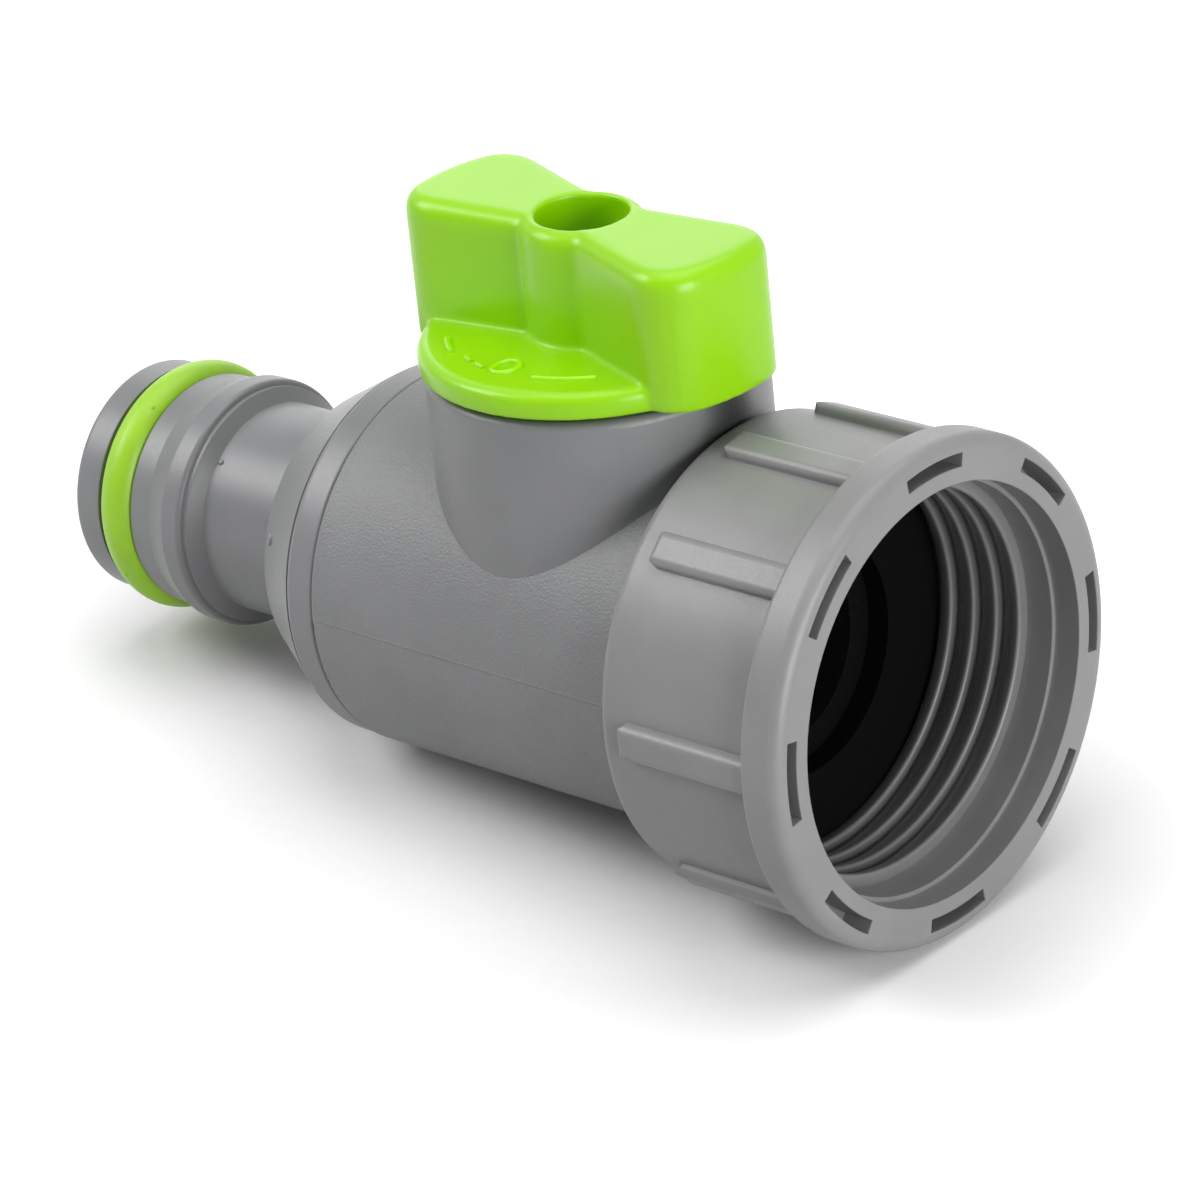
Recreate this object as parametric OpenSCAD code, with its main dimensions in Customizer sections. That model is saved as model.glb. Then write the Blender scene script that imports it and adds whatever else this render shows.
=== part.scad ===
// Tap connector with a quarter-turn ball valve: a threaded swivel nut that goes on a tap,
// a ball valve with a winged knob, and a nipple that a quick-connect hose end snaps onto.
// Millimetres. The origin is the centre of the sealing face that the tap's end seats on.
// X runs along the pipe and out of the nut's mouth, Z runs up along the valve stem.

/* [Tap nut] */
// Major diameter of the tap thread that the nut takes
thread_d = 26.44; // [24:0.01:30]
// Depth from the nut's mouth to the washer
thread_depth = 10.8; // [9:0.1:16]
// Wall of the nut outside the thread
nut_wall = 1.85; // [1.2:0.05:3]
// Width of the raised band round the nut's mouth
nut_band_width = 3; // [2:0.1:5]
// Height of that band above the nut's barrel
nut_band_rise = 1.35; // [0.8:0.05:2.5]
// Rounding of the nut's front edge
nut_front_round = 0.9; // [0.3:0.1:1.2]
// Rounding of the nut's back edge
nut_back_round = 0.8; // [0.3:0.1:1.2]
// Thickness of the in-turned lip that holds the nut on the body
nut_lip = 1.6; // [1:0.1:2.5]
// Depth of the plain relief before the thread
relief_depth = 1.9; // [1:0.1:3]
// Extra radius of that relief and of the washer's recess
relief_step = 0.28; // [0.1:0.02:0.5]

/* [Nut grip] */
// Width of a grip rib
rib_width = 2.3; // [1.5:0.1:3]
// Height of a grip rib above the nut's barrel
rib_rise = 0.75; // [0.4:0.05:1.2]
// Bare length between the nut's back edge and the ribs
rib_setback = 2; // [1.5:0.1:4]
// Angle of the rib pattern about the pipe
rib_turn = 89; // [-180:1:180]
// Number of pockets in the nut's front face
pocket_count = 8; // [4:1:12]
// Angle that one pocket spans
pocket_angle = 20.5; // [12:0.5:24]
// Radial height of a pocket
pocket_height = 0.9; // [0.5:0.05:1.2]
// Depth of a pocket
pocket_depth = 2.2; // [1:0.1:2.4]
// Angle of the first pocket about the pipe
pocket_turn = -2; // [-22:1:22]

/* [Tap seal] */
// Thickness of the flat rubber washer
washer_thickness = 1.6; // [1:0.1:3]
// Diameter of the washer's hole
washer_hole_d = 15.6; // [13:0.1:18]
// Thickness of the ring that keeps the nut on the spigot
retainer_thickness = 1.2; // [0.8:0.1:2]
// Width of the ledge that the nut's lip bears on
retainer_ledge = 1.5; // [1:0.1:1.8]
// Height of the spigot's shoulder behind the retaining ring
spigot_shoulder = 0.8; // [0.4:0.1:1.2]

/* [Body] */
// Wall of the barrel round the nipple's socket
barrel_wall = 2.2; // [1.6:0.1:3]
// Length of the barrel
barrel_length = 26.2; // [26:0.1:34]
// Distance from the barrel's front face back to the stem
stem_setback = 10.7; // [10.7:0.1:14]
// Diameter of the spigot that the nut turns on
spigot_d = 20.8; // [19:0.1:21.5]
// Diameter of the waterway at the inlet
inlet_bore_d = 12; // [9:0.1:13]
// Diameter of the socket that takes the nipple
socket_d = 20.9; // [19:0.1:21.5]
// Diameter of the turret under the knob
turret_d = 21.8; // [19:0.1:23]
// Height of the turret's top above the pipe's axis
turret_top = 17.3; // [16.5:0.1:20]

/* [Valve] */
// Diameter of the ball
ball_d = 15.2; // [14:0.1:15.6]
// Diameter of the waterway through the ball
ball_bore_d = 9; // [6:0.1:9.5]
// Length of a seat ring along the pipe
seat_length = 2.9; // [2.5:0.1:3.4]
// Thickness of the rubber cushion behind a seat ring
cushion_thickness = 1; // [0.6:0.1:1.4]
// Diameter of the stem
stem_d = 7; // [6:0.1:7.6]
// Height of the stem's square above the turret
square_rise = 3.1; // [2.5:0.1:3.5]
// Width of the tongue that turns the ball
tongue_width = 2.8; // [2:0.1:3.5]
// Depth of the ball's slot
slot_depth = 2.2; // [1.5:0.1:2.4]
// Section diameter of a stem O-ring
stem_ring_section = 0.84; // [0.6:0.02:1.1]
// Distance between the two stem O-rings
stem_ring_pitch = 2.6; // [1.8:0.1:3]
// Section diameter of the O-ring between nipple and body
body_ring_section = 1.2; // [0.8:0.1:1.5]

/* [Knob] */
// Angle of the knob and the ball from fully open
knob_turn = -5; // [-90:1:0]
// Reach of a wing from the stem's axis
wing_reach = 13; // [12:0.1:16]
// Width of a wing at its outer end
wing_end_width = 11.8; // [9:0.1:14]
// Width of a wing where it leaves the boss
wing_root_width = 5.3; // [4:0.1:7]
// Rounding of a wing's outer corners, seen from above
wing_corner = 2.9; // [1.4:0.1:3.2]
// Fall of the wings' top towards the inlet, in millimetres per millimetre
top_fall = 0.025; // [0:0.005:0.05]
// Diameter of the boss between the wings
boss_d = 8.2; // [8:0.1:10]
// Diameter of the hole above the screw
knob_hole_d = 5.94; // [5.6:0.02:6.4]
// Overall height of the knob
knob_height = 9.45; // [9:0.05:12]
// Rounding of the knob's top edges
knob_edge = 1.2; // [0.6:0.1:1.4]
// Diameter of the round base disc
disc_d = 22.4; // [18:0.1:24]
// Thickness of the base disc
disc_thickness = 1.7; // [1.2:0.1:2.5]
// Rounding of the disc's top edge
disc_edge = 0.7; // [0.3:0.1:1]
// Wall of the hollow wings
wing_wall = 1.8; // [1.4:0.1:2.2]
// Angle that the knob turns between its stops
quarter_turn = 90; // [60:1:100]

/* [Nipple] */
// Diameter of the nipple's tip
tip_d = 15.86; // [15:0.01:17]
// Length of the land in front of the O-ring
tip_land = 2.35; // [1.5:0.05:4]
// Section diameter of the nipple's O-ring
nose_ring_section = 2.95; // [1.8:0.05:3.2]
// How far the O-ring stands above the tip
nose_ring_proud = 0.65; // [0.2:0.05:0.8]
// Length of the land behind the O-ring
rear_land = 1.65; // [1:0.05:3]
// Diameter of the latch collar
collar_d = 17; // [16.2:0.1:18.5]
// Length of the ramp up to the latch collar
collar_ramp = 1.8; // [0.8:0.1:3]
// Width of the latch collar's crest
collar_width = 1.6; // [0.8:0.1:3]
// Length of the collar's back slope
collar_slope = 1; // [0.5:0.1:2]
// Diameter of the neck that the hose end's latch grips
neck_d = 14.3; // [13:0.1:15]
// Rounding of the collar's back edge
collar_round = 0.4; // [0.2:0.1:0.6]
// Length of the straight neck
neck_length = 6.1; // [4:0.1:9]
// Radius of the flare between neck and shoulder
neck_flare = 1.7; // [1:0.1:2]
// Length of the nipple's coned shoulder
shoulder_length = 4.9; // [4:0.1:6]
// Diameter of the shoulder's front
shoulder_front_d = 19; // [18.6:0.1:21]
// Rounding of the shoulder's front edge
shoulder_round = 1; // [0.6:0.1:1]
// Step from the lock ring down to the shoulder
shoulder_step = 0.2; // [0.1:0.05:0.5]
// Width of the lock ring between barrel and shoulder
lock_ring_width = 2.4; // [1.6:0.1:4]
// Wall of the lock ring round the nipple
lock_ring_wall = 2.1; // [1.6:0.1:3]
// Diameter of the waterway through the nipple
nipple_bore_d = 10; // [7:0.1:10.6]

/* [Hidden] */

// Clearances
turning_gap = 0.3;      // between the nut and what it turns on
stem_gap = 0.05;        // running fit of the stem in its bore
seat_gap = 0.1;         // between the ball and its seats
fit_gap = 0.05;         // between pieces that are pressed together
play = 0.1;             // end play of the nut, the bearing washer and the slot
knob_gap = 0.35;        // between the knob and the turret
line_chamfer = 0.25;    // broken edge where two mouldings meet
over = 1;               // how far a cutter runs past a face
smooth = 128;

// Radii of the nut
thread_r = thread_d / 2;
relief_r = thread_r + relief_step;
nut_r = thread_r + nut_wall;
band_r = nut_r + nut_band_rise;

// Radii of the body, the lock ring and the shoulder, from the socket that the nipple fits
barrel_r = socket_d / 2 + barrel_wall;
lock_ring_r = socket_d / 2 + lock_ring_wall;
shoulder_r = lock_ring_r - shoulder_step;
shoulder_front_r = shoulder_front_d / 2;

// Places along the pipe, from the sealing face
washer_back_x = -washer_thickness;
retainer_back_x = washer_back_x - retainer_thickness;
lip_front_x = retainer_back_x - play;
nut_back_x = lip_front_x - nut_lip;
barrel_front_x = nut_back_x - turning_gap - play;
barrel_back_x = barrel_front_x - barrel_length;
stem_x = barrel_front_x - stem_setback;
band_back_x = thread_depth - nut_band_width;
lock_ring_back_x = barrel_back_x - lock_ring_width;

// Seal and retaining ring
retainer_r = spigot_d / 2 + retainer_ledge;
retainer_hole_r = spigot_d / 2 - spigot_shoulder;
washer_r = thread_r - turning_gap;

// Ball, seats and cushions
ball_r = ball_d / 2;
chamber_r = ball_r + 0.65;
seat_hole_r = ball_bore_d / 2 + 0.3;
seat_r = chamber_r - fit_gap;
seat_near = 4.7;        // from the stem's axis to a seat's near face
seat_far = seat_near + seat_length;
cushion_far = seat_far + cushion_thickness;
cushion_hole_r = seat_hole_r + 0.6;

// Nipple
tip_r = tip_d / 2;
collar_r = collar_d / 2;
neck_r = neck_d / 2;
nipple_spigot_r = socket_d / 2 - fit_gap;
nipple_bore_r = nipple_bore_d / 2;
nipple_inner_x = stem_x - seat_near - play;
socket_stop_x = nipple_inner_x + play;
pocket_floor_x = stem_x - cushion_far;
shoulder_end_x = lock_ring_back_x - shoulder_length;
neck_end_x = shoulder_end_x - neck_flare;
flare_bite = 0.02;      // the flare's arc runs this far into the neck
slope_end_x = neck_end_x - neck_length;
crest_end_x = slope_end_x - collar_slope;
ramp_end_x = crest_end_x - collar_width;
rear_land_x = ramp_end_x - collar_ramp;
groove_back_x = rear_land_x - rear_land;
nose_groove_width = nose_ring_section + 0.15;
groove_front_x = groove_back_x - nose_groove_width;
tip_x = groove_front_x - tip_land;
tip_round = 0.5;
nose_ring_r = tip_r + nose_ring_proud - nose_ring_section / 2;
nose_floor_r = nose_ring_r - nose_ring_section / 2;
body_groove_width = body_ring_section + 0.3;
body_floor_r = socket_d / 2 - body_ring_section;
body_ring_r = socket_d / 2 - body_ring_section / 2;
body_groove_x = (barrel_back_x + pocket_floor_x) / 2;

// Stem
stem_r = stem_d / 2;
stem_bore_r = stem_r + stem_gap;
square_side = stem_d * 0.7;
collar_low = ball_r + 0.8;      // underside of the stem's inner collar
collar_thickness = 1;
stem_collar_r = seat_near - turning_gap;
collar_room = 0.5;              // round the collar, inside the turret
bearing_low = collar_low + collar_thickness;
bearing_thickness = 0.6;
ceiling = bearing_low + bearing_thickness + play;
square_low = turret_top + 0.1;
square_top = turret_top + square_rise;
tongue_low = ball_r - slot_depth + play;
stem_rings_mid = (ceiling + turret_top) / 2;
stem_ring_r = stem_bore_r - 0.02 - stem_ring_section / 2;
stem_groove_r = stem_ring_r - stem_ring_section / 2;
stem_groove_width = stem_ring_section + 0.2;
screw_hole_r = 1.4;
screw_hole_depth = 7.5;

// Knob
knob_low = turret_top + knob_gap;
web_low = square_top + fit_gap;
web_thickness = 1.3;
web_top = web_low + web_thickness;
screw_head_r = knob_hole_d / 2 - 0.4;
screw_head_height = 1.5;
screw_length = 6;
recess_length = 3;
recess_width = 0.7;
recess_depth = 0.9;
wing_roof = 2.2;
rib_wall = 1.2;
waist_round = 1;
stop_mid_r = 8;
stop_width = 1.6;
stop_height = 1.2;
stop_angle = 16;
stop_at = 135;          // azimuth of the stop lug, away from the marks
stop_play = 1;          // degrees left at each end of the turn

// Turns a profile, drawn as [radius, distance along the pipe], about the pipe's axis
module about_pipe() {
    rotate([0, 90, 0]) rotate_extrude($fn = smooth) children();
}

// Rounds the outer corner of a profile at [radius, along]; side is where the material lies
module round_off(radius, along, size, side) {
    translate([radius - size, along + side * size])
    difference() {
        translate([0, side > 0 ? -size - over : 0]) square([size + over, size + over]);
        circle(size, $fn = 48);
    }
}

// A rectangle of a profile between two radii and two places along the pipe
module span(inner, outer, from, to) {
    translate([inner, min(from, to)]) square([outer - inner, abs(to - from)]);
}

// An O-ring about the pipe's axis or, laid flat, about the stem's
module o_ring(mid_r, section) {
    rotate_extrude($fn = smooth) translate([mid_r, 0]) circle(d = section, $fn = 48);
}

// Moves something to the stem and turns it with the knob
module at_stem() {
    translate([stem_x, 0, 0]) rotate([0, 0, knob_turn]) children();
}

// Body: barrel, spigot for the nut and turret for the stem, in one moulding

module body_outside() {
    about_pipe() difference() {
        union() {
            span(0, barrel_r, barrel_front_x, barrel_back_x);
            span(0, spigot_d / 2, barrel_front_x, retainer_back_x);
            span(0, retainer_hole_r - fit_gap, barrel_front_x, washer_back_x);
        }
        round_off(barrel_r, barrel_front_x, line_chamfer * 2, -1);
        round_off(barrel_r, barrel_back_x, line_chamfer, 1);
    }
    translate([stem_x, 0, 0]) rotate_extrude($fn = smooth) difference() {
        square([turret_d / 2, turret_top]);
        round_off(turret_d / 2, turret_top, line_chamfer * 2, -1);
    }
}

module body_waterway() {
    about_pipe() {
        span(0, inlet_bore_d / 2, washer_back_x + over, stem_x);
        span(0, chamber_r, stem_x + cushion_far, socket_stop_x - over);
        span(0, socket_d / 2, socket_stop_x, barrel_back_x - over);
    }
}

// Arc groove in the turret's top that stops the knob at open and at closed
module stop_groove() {
    sweep = quarter_turn + stop_angle + 2 * stop_play;
    first = stop_at - quarter_turn - stop_angle / 2 - stop_play;
    translate([stem_x, 0, turret_top - stop_height]) rotate([0, 0, first])
        rotate_extrude(angle = sweep, $fn = smooth)
            translate([stop_mid_r - stop_width / 2 - turning_gap, 0])
                square([stop_width + 2 * turning_gap, stop_height + over]);
}

module valve_body() {
    color("#74777b") difference() {
        body_outside();
        body_waterway();
        translate([stem_x, 0, 0]) cylinder(r = stem_bore_r, h = turret_top + over, $fn = smooth);
        translate([stem_x, 0, 0]) cylinder(r = stem_collar_r + collar_room, h = ceiling, $fn = smooth);
        stop_groove();
    }
}

// Ring pressed on the spigot's end that keeps the nut on
module nut_retaining_ring() {
    color("#74777b") about_pipe() span(retainer_hole_r, retainer_r, washer_back_x, retainer_back_x);
}

// Tap nut: barrel with grip ribs, a raised band with pockets in its face, and an in-turned lip

module nut_profile() {
    difference() {
        union() {
            span(0, nut_r, nut_back_x, band_back_x + over);
            span(0, band_r, band_back_x, thread_depth);
        }
        span(-over, spigot_d / 2 + turning_gap, nut_back_x - over, thread_depth + over);
        span(0, relief_r, lip_front_x, 0);
        span(0, thread_r, -over, thread_depth + over);
        span(0, relief_r, thread_depth - relief_depth, thread_depth + over);
        round_off(band_r, thread_depth, nut_front_round, -1);
        round_off(band_r, band_back_x, line_chamfer * 2, 1);
        round_off(nut_r, nut_back_x, nut_back_round, 1);
    }
}

// Outline with a flat foot and a rounded top
module loaf(width, height, edge) {
    translate([-width / 2, 0]) square([width, height - edge]);
    translate([edge - width / 2, 0]) square([width - 2 * edge, height]);
    for (side = [-1, 1]) translate([side * (width / 2 - edge), height - edge]) circle(edge, $fn = 32);
}

// One grip rib along the barrel, rounded along its sides and all round its back end
module grip_rib() {
    edge = rib_rise * 0.7;
    corner = rib_width * 0.3;
    root = nut_wall / 2;
    length = band_back_x - nut_back_x - rib_setback + over;
    translate([nut_back_x + rib_setback, 0, nut_r - root]) intersection() {
        rotate([90, 0, 90]) linear_extrude(length) loaf(rib_width, root + rib_rise, edge);
        translate([length, rib_width, 0]) rotate([90, 0, 0])
            linear_extrude(2 * rib_width) loaf(2 * length, root + rib_rise, edge);
        translate([length, 0, -over]) linear_extrude(root + rib_rise + 2 * over)
            rotate(90) loaf(rib_width, length, corner);
    }
}

// The ribs stand closer together towards the top and the bottom than at the side
RIB_STEPS = [0, 46, 79, 112, 146, 180, -146, -112, -79, -46];

module pocket() {
    middle = (relief_r + band_r) / 2;
    rotate([0, 90, 0]) rotate([0, 0, -pocket_angle / 2])
        rotate_extrude(angle = pocket_angle, $fn = smooth)
            translate([middle - pocket_height / 2, thread_depth - pocket_depth])
                square([pocket_height, pocket_depth + over]);
}

module coupling_nut() {
    color("#7d8083") difference() {
        union() {
            about_pipe() nut_profile();
            for (step = RIB_STEPS) rotate([rib_turn + step, 0, 0]) grip_rib();
        }
        for (i = [0 : pocket_count - 1]) rotate([pocket_turn + i * 360 / pocket_count, 0, 0]) pocket();
    }
}

// Flat rubber washer that the tap's end seats on
module tap_washer() {
    color("#1c1d1f") about_pipe() span(washer_hole_d / 2, washer_r, washer_back_x, 0);
}

// Ball, its two seats and the rubber cushions behind them

module valve_ball() {
    color("#e6e6e2") at_stem() difference() {
        rotate([0, 0, 45]) sphere(ball_r, $fn = smooth);
        rotate([0, 90, 0]) cylinder(d = ball_bore_d, h = 2 * ball_d, center = true, $fn = smooth);
        translate([-tongue_width / 2 - play, -ball_r, ball_r - slot_depth])
            cube([tongue_width + 2 * play, ball_d, slot_depth + over]);
    }
}

// Seat ring on one side of the ball; side is 1 at the inlet and -1 at the outlet
module seat(side) {
    translate([stem_x, 0, 0]) difference() {
        about_pipe() span(seat_hole_r, seat_r, side * seat_near, side * seat_far);
        sphere(ball_r + seat_gap, $fn = smooth);
    }
}

module cushion(side) {
    translate([stem_x, 0, 0])
        about_pipe() span(cushion_hole_r, seat_r, side * seat_far, side * cushion_far);
}

module inlet_seat() {
    color("#f2f1ec") seat(1);
}

module inlet_seat_cushion() {
    color("#26272a") cushion(1);
}

module outlet_seat() {
    color("#f2f1ec") seat(-1);
}

module outlet_seat_cushion() {
    color("#26272a") cushion(-1);
}

// Stem with its tongue, inner collar, O-ring grooves and the square that drives the knob

module stem_groove(middle) {
    translate([0, 0, middle - stem_groove_width / 2]) difference() {
        cylinder(r = stem_r + over, h = stem_groove_width, $fn = smooth);
        cylinder(r = stem_groove_r, h = stem_groove_width, $fn = smooth);
    }
}

module stem() {
    color("#d9dad6") at_stem() difference() {
        union() {
            translate([0, 0, collar_low]) cylinder(r = stem_collar_r, h = collar_thickness, $fn = smooth);
            translate([0, 0, collar_low]) cylinder(r = stem_r, h = square_low - collar_low, $fn = smooth);
            translate([-square_side / 2, -square_side / 2, square_low - over])
                cube([square_side, square_side, square_top - square_low + over]);
            intersection() {
                translate([-tongue_width / 2, -stem_r, tongue_low])
                    cube([tongue_width, stem_d, collar_low + over / 2 - tongue_low]);
                cylinder(r = stem_r, h = square_top, $fn = smooth);
            }
        }
        for (side = [-1, 1]) stem_groove(stem_rings_mid + side * stem_ring_pitch / 2);
        translate([0, 0, square_top - screw_hole_depth])
            cylinder(r = screw_hole_r, h = screw_hole_depth + over, $fn = 48);
    }
}

// Slippery washer between the stem's collar and the body
module stem_bearing_washer() {
    color("#f2f1ec") at_stem() translate([0, 0, bearing_low]) difference() {
        cylinder(r = stem_collar_r, h = bearing_thickness, $fn = smooth);
        translate([0, 0, -over])
            cylinder(r = stem_r + fit_gap, h = bearing_thickness + 2 * over, $fn = smooth);
    }
}

module stem_o_ring(side) {
    at_stem() translate([0, 0, stem_rings_mid + side * stem_ring_pitch / 2])
        o_ring(stem_ring_r, stem_ring_section);
}

module stem_lower_o_ring() {
    color("#26272a") stem_o_ring(-1);
}

module stem_upper_o_ring() {
    color("#26272a") stem_o_ring(1);
}

// Knob: a bow tie of two flared wings on a round disc, hollow below, screwed to the stem

// Plan of one wing, flaring from the boss to an arc about the stem
module wing_plan() {
    offset(r = wing_corner, $fn = 24) offset(delta = -wing_corner) intersection() {
        circle(wing_reach, $fn = 80);
        polygon([
            [0, -wing_root_width / 2], [wing_reach, -wing_end_width / 2],
            [wing_reach, wing_end_width / 2], [0, wing_root_width / 2]
        ]);
    }
}

module bow_tie_plan() {
    offset(r = -waist_round, $fn = 24) offset(delta = waist_round) {
        circle(d = boss_d, $fn = 48);
        for (turn = [0, 180]) rotate(turn) wing_plan();
    }
}

// The bow tie as a solid with rounded edges round its sloping top
module bow_tie() {
    translate([0, 0, knob_low]) intersection() {
        minkowski() {
            intersection() {
                linear_extrude(knob_height + over) offset(delta = -knob_edge) bow_tie_plan();
                rotate([0, atan(top_fall), 0]) translate([-2 * wing_reach, -2 * wing_reach, -knob_height])
                    cube([4 * wing_reach, 4 * wing_reach, 2 * knob_height - knob_edge]);
            }
            sphere(knob_edge, $fn = 18);
        }
        cylinder(r = wing_reach + over, h = knob_height + over, $fn = 24);
    }
}

module base_disc() {
    translate([0, 0, knob_low]) rotate_extrude($fn = smooth) difference() {
        square([disc_d / 2, disc_thickness]);
        round_off(disc_d / 2, disc_thickness, disc_edge, -1);
    }
}

// The two pockets under one wing, with a stiffening rib between them
module wing_hollow() {
    translate([0, 0, knob_low - over]) linear_extrude(knob_height - wing_roof + over) difference() {
        offset(delta = -wing_wall) wing_plan();
        circle(d = boss_d + 2 * rib_wall, $fn = 64);
        translate([0, -rib_wall / 2]) square([wing_reach, rib_wall]);
    }
}

// Lug under the disc that runs in the turret's groove
module stop_lug() {
    translate([0, 0, knob_low - stop_height]) rotate([0, 0, stop_at - stop_angle / 2])
        rotate_extrude(angle = stop_angle, $fn = smooth)
            translate([stop_mid_r - stop_width / 2, 0])
                square([stop_width, stop_height + disc_thickness / 2]);
}

module knob() {
    socket = square_side + 2 * fit_gap;
    color("#93d50a") at_stem() {
        difference() {
            union() {
                base_disc();
                bow_tie();
                stop_lug();
            }
            translate([0, 0, web_top]) cylinder(d = knob_hole_d, h = knob_height, $fn = smooth);
            cylinder(r = screw_hole_r, h = web_top + over, $fn = 48);
            translate([-socket / 2, -socket / 2, 0]) cube([socket, socket, web_low]);
            for (turn = [0, 180]) rotate(turn) wing_hollow();
        }
    }
}

// Screw at the bottom of the knob's hole, down into the stem
module knob_screw() {
    head_top = web_top + screw_head_height;
    color("#b9bcc0") at_stem() {
        difference() {
            translate([0, 0, web_top]) cylinder(r = screw_head_r, h = screw_head_height, $fn = 64);
            for (turn = [0, 90]) rotate(turn)
                translate([-recess_length / 2, -recess_width / 2, head_top - recess_depth])
                    cube([recess_length, recess_width, recess_depth + over]);
        }
        translate([0, 0, web_top - screw_length])
            cylinder(r = screw_hole_r - fit_gap, h = screw_length + fit_gap, $fn = 48);
    }
}

// Nipple: spigot inside the body, coned shoulder, neck, latch collar and grooved tip

// Coned shoulder whose front edge is an arc that touches the cone and the flat front
module shoulder_profile() {
    slope = (shoulder_r - shoulder_front_r) / shoulder_length;
    lean = sqrt(1 + slope * slope);
    arc_r = shoulder_front_r + (slope - lean) * shoulder_round;
    arc_x = shoulder_end_x + shoulder_round;
    translate([arc_r, arc_x]) circle(shoulder_round, $fn = 64);
    polygon([
        [0, lock_ring_back_x], [shoulder_r, lock_ring_back_x],
        [arc_r + shoulder_round / lean, arc_x - shoulder_round * slope / lean],
        [arc_r, shoulder_end_x], [0, shoulder_end_x]
    ]);
}

// Spigot and shoulder, with the flare down to the neck
module nipple_back_profile() {
    difference() {
        union() {
            span(0, nipple_spigot_r, nipple_inner_x, lock_ring_back_x);
            shoulder_profile();
            span(0, neck_r + neck_flare, lock_ring_back_x, neck_end_x);
        }
        translate([neck_r + neck_flare - flare_bite, neck_end_x]) circle(neck_flare, $fn = 64);
        round_off(shoulder_r, lock_ring_back_x, line_chamfer, -1);
        translate([0, body_groove_x])
            span(body_floor_r, socket_d, -body_groove_width / 2, body_groove_width / 2);
    }
}

// Neck, latch collar and tip
module nipple_nose_profile() {
    difference() {
        polygon([
            [0, lock_ring_back_x], [neck_r, lock_ring_back_x], [neck_r, slope_end_x],
            [collar_r, crest_end_x], [collar_r, ramp_end_x], [tip_r, rear_land_x],
            [tip_r, tip_x], [0, tip_x]
        ]);
        round_off(collar_r, crest_end_x, collar_round, -1);
        span(nose_floor_r, tip_r + over, groove_front_x, groove_back_x);
        round_off(tip_r, tip_x, tip_round, 1);
    }
}

module nipple() {
    color("#74777b") difference() {
        union() {
            about_pipe() nipple_back_profile();
            about_pipe() nipple_nose_profile();
        }
        about_pipe() {
            span(0, nipple_bore_r, nipple_inner_x + over, tip_x - over);
            span(0, chamber_r, nipple_inner_x + over, pocket_floor_x);
        }
    }
}

module nipple_body_o_ring() {
    color("#26272a") translate([body_groove_x, 0, 0]) rotate([0, 90, 0])
        o_ring(body_ring_r, body_ring_section - 2 * fit_gap);
}

module nipple_nose_o_ring() {
    color("#93d50a") translate([(groove_front_x + groove_back_x) / 2, 0, 0]) rotate([0, 90, 0])
        o_ring(nose_ring_r, nose_ring_section);
}

// Ring between the barrel's end and the nipple's shoulder
module lock_ring() {
    color("#74777b") about_pipe() difference() {
        span(socket_d / 2, lock_ring_r, barrel_back_x, lock_ring_back_x);
        round_off(lock_ring_r, barrel_back_x, line_chamfer, -1);
        round_off(lock_ring_r, lock_ring_back_x, line_chamfer * 2, 1);
    }
}

valve_body();
nut_retaining_ring();
coupling_nut();
tap_washer();
valve_ball();
inlet_seat();
inlet_seat_cushion();
outlet_seat();
outlet_seat_cushion();
stem();
stem_bearing_washer();
stem_lower_o_ring();
stem_upper_o_ring();
knob();
knob_screw();
nipple();
nipple_body_o_ring();
nipple_nose_o_ring();
lock_ring();
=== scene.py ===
"""Looks of a tap connector with a quarter-turn valve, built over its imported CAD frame.

Lengths are in metres, in the frame of the CAD model: X runs along the pipe and out of the
nut's mouth, Z runs up the valve stem, and the origin is on the washer's face.
"""

import math

import bmesh
import bpy
from mathutils import Matrix, Vector


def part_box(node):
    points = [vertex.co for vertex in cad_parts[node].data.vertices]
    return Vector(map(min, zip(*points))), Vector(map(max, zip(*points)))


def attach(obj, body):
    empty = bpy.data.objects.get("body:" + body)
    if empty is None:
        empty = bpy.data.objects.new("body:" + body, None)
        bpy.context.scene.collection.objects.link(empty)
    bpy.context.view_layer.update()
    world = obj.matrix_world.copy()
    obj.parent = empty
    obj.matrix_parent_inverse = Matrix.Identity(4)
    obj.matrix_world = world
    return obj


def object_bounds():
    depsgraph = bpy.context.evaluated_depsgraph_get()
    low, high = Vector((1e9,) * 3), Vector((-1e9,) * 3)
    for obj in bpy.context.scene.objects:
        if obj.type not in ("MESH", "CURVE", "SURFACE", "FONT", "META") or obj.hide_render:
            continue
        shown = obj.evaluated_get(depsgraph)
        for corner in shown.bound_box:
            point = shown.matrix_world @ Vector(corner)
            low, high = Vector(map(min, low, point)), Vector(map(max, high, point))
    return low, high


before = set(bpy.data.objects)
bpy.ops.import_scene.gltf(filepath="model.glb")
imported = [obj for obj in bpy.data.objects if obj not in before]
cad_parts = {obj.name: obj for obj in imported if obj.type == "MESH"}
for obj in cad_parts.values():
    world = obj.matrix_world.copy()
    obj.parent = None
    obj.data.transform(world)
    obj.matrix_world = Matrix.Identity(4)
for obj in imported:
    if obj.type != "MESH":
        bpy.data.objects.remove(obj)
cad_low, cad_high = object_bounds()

bl_info = {
    "name": "Tap connector with valve",
    "version": (1, 0, 0),
    "blender": (4, 5, 0),
    "location": "3D View > Sidebar > Connector",
    "description": "Finishes and small details of a tap connector with a quarter-turn valve",
    "category": "Object",
}

MM = 0.001

# Places that the details are set against, read from the CAD nodes
knob_low, knob_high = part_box("knob")
ring_low, ring_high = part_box("nipple_nose_o_ring")
STEM_X = (knob_low.x + knob_high.x) / 2
MIDDLE = (cad_low + cad_high) / 2
PIPE_AXIS = Vector((1, 0, 0))

# Share of a plastic's colour and level of its shine that are left where shade is painted deep in the inlet
INLET_SHADE_COLOUR = 0.02
INLET_SHADE_SHINE = 0.04
# Distance over which one finish runs into the next
BLEND = 0.3 * MM
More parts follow.
